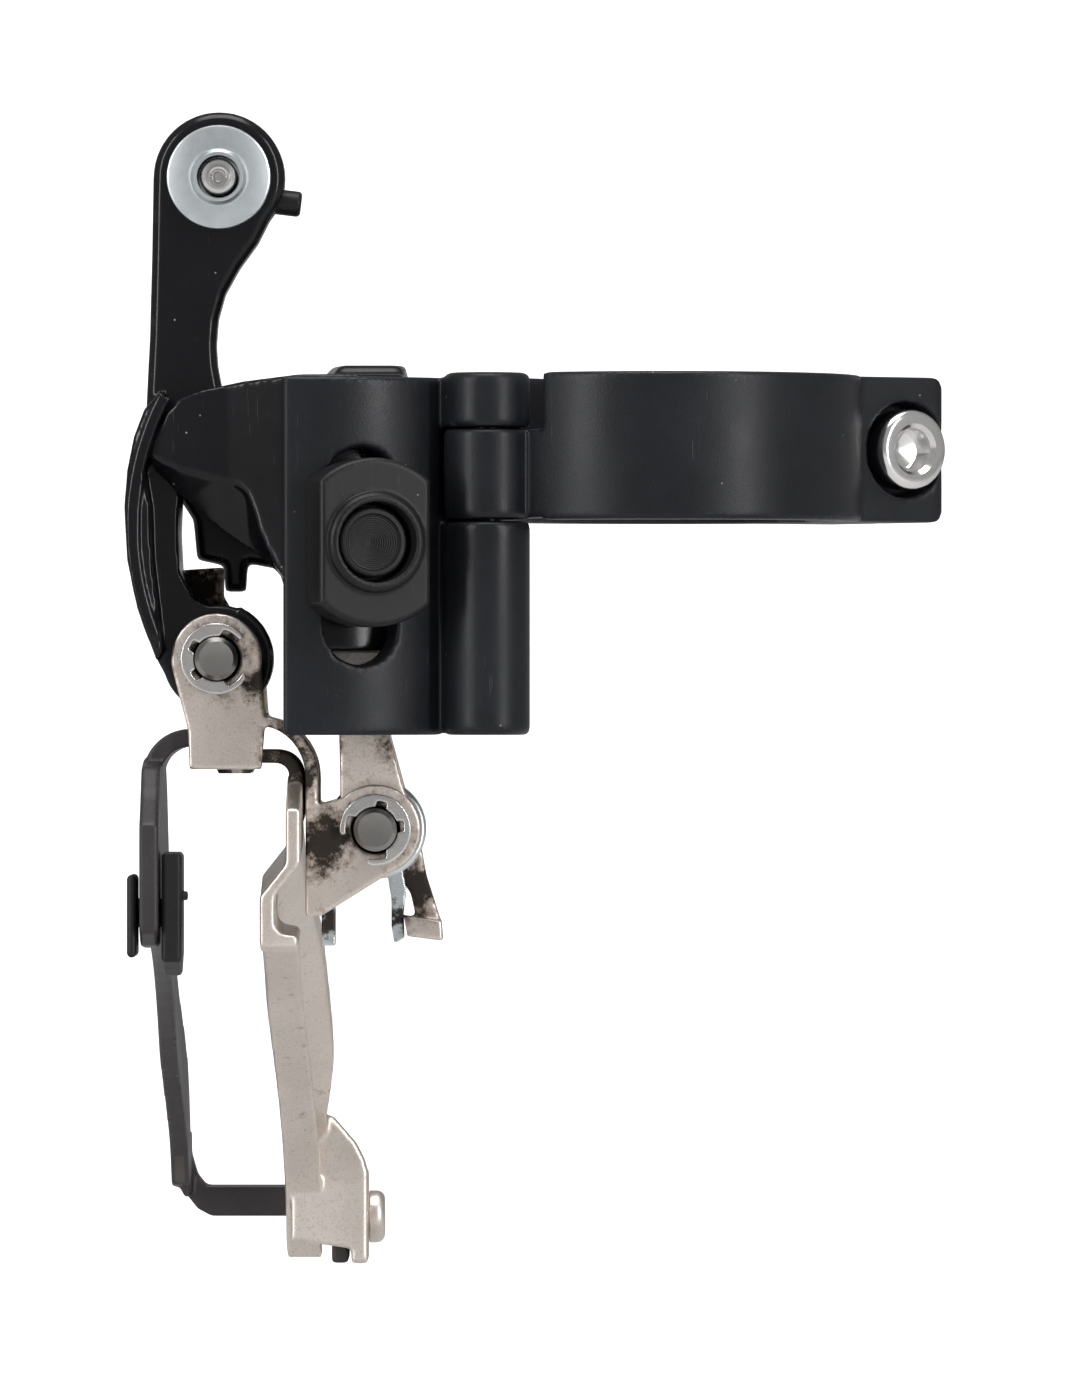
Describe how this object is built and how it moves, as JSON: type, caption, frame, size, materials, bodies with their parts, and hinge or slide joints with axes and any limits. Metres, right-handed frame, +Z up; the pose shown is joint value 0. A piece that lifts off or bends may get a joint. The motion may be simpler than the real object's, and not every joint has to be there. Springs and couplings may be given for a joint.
{
  "type": "bicycle front derailleur",
  "caption": "Front derailleur for a double crankset, with a hinged seat tube band, a long cable arm and a parallelogram that swings the chain cage.",
  "frame": {"origin": "on the seat tube's axis, halfway up the band", "axes": "+Z up along the seat tube, +Y to the rear of the bicycle, +X from the chain cage towards the far side of the tube"},
  "size_m": [0.0863, 0.1025, 0.1242],
  "materials": {
    "anodised": "satin black anodised",
    "gloss_black": "gloss black",
    "black_oxide": "black oxide",
    "chrome": "polished",
    "zinc": "zinc plated",
    "nickel": "satin nickel, grimy",
    "dark_steel": "dark polished",
    "dark_plate": "satin dark coating",
    "plastic": "matt"
  },
  "bodies": {
    "clamp": {"clamp_body": "anodised", "hinge_pin": "dark_steel"},
    "band": {"clamp_band": "anodised"},
    "band_bolt": {"clamp_bolt": "chrome"},
    "base": {"base_bracket": "gloss_black", "radius_washer": "black_oxide", "upper_outer_pin": "dark_steel", "upper_inner_pin": "dark_steel"},
    "fixing_bolt": {"mounting_bolt": "black_oxide"},
    "low_screw": {"low_limit_screw": "dark_steel"},
    "high_screw": {"high_limit_screw": "dark_steel"},
    "arm_link": {"outer_link": "gloss_black", "cable_washer": "zinc", "cable_guide_pin": "black_oxide"},
    "anchor_bolt": {"cable_bolt": "chrome"},
    "link": {"inner_link": "nickel"},
    "cage": {"cage_bracket": "nickel", "inner_plate": "nickel", "outer_plate": "dark_plate", "skid_pad": "plastic", "front_rivet": "dark_steel", "rear_rivet": "dark_steel", "lower_outer_pin": "dark_steel", "lower_inner_pin": "dark_steel", "outer_snap_ring": "dark_steel", "inner_snap_ring": "dark_steel", "spring_bush": "plastic", "return_spring": "zinc"},
    "cage_screw": {"tail_screw": "dark_steel"}
  },
  "joints": [
    {"name": "clamp_hinge", "type": "hinge", "parent": "clamp", "child": "band", "pos_m": [-0.01874, -0.01264, 0], "axis": [0, 0, -1], "range_deg": [0, 70]},
    {"name": "clamp_bolt_turn", "type": "hinge", "parent": "band", "child": "band_bolt", "pos_m": [0.02031, 0.0137, 0], "axis": [0.5592, -0.829, 0], "continuous": true},
    {"name": "height_slide", "type": "slide", "parent": "clamp", "child": "base", "axis": [0, 0, 1], "range_m": [-0.009, 0.0025]},
    {"name": "mounting_bolt_turn", "type": "hinge", "parent": "base", "child": "fixing_bolt", "pos_m": [-0.03103, -0.01919, -0.0101], "axis": [0.309, -0.9511, 0], "continuous": true},
    {"name": "low_limit_turn", "type": "hinge", "parent": "base", "child": "low_screw", "pos_m": [-0.0368, 0.0062, 0], "axis": [0, 0, 1], "continuous": true},
    {"name": "high_limit_turn", "type": "hinge", "parent": "base", "child": "high_screw", "pos_m": [-0.0306, 0.0062, 0], "axis": [0, 0, 1], "continuous": true},
    {"name": "shift", "type": "hinge", "parent": "base", "child": "arm_link", "pos_m": [-0.0489, 0, 0.0003], "axis": [0, 1, 0], "range_deg": [0, 30], "stiffness_Nm_per_rad": 0.5, "springref_deg": -28.65},
    {"name": "cable_bolt_turn", "type": "hinge", "parent": "arm_link", "child": "anchor_bolt", "pos_m": [-0.04685, 0, 0.0283], "axis": [0, 1, 0], "continuous": true},
    {"name": "inner_link_pivot", "type": "hinge", "parent": "base", "child": "link", "pos_m": [-0.0323, 0, -0.01755], "axis": [0, 1, 0], "range_deg": [0, 30]},
    {"name": "cage_pivot", "type": "hinge", "parent": "link", "child": "cage", "pos_m": [-0.0304, 0, -0.04], "axis": [0, 1, 0], "range_deg": [-30, 0], "deforming": ["return_spring"]},
    {"name": "tail_screw_turn", "type": "hinge", "parent": "cage", "child": "cage_screw", "pos_m": [-0.0319, 0.0715, -0.0839], "axis": [1, 0, 0], "continuous": true}
  ],
  "couplings": [
    {"joint": "inner_link_pivot", "follows": "shift", "ratio": 1},
    {"joint": "cage_pivot", "follows": "shift", "ratio": -1}
  ]
}
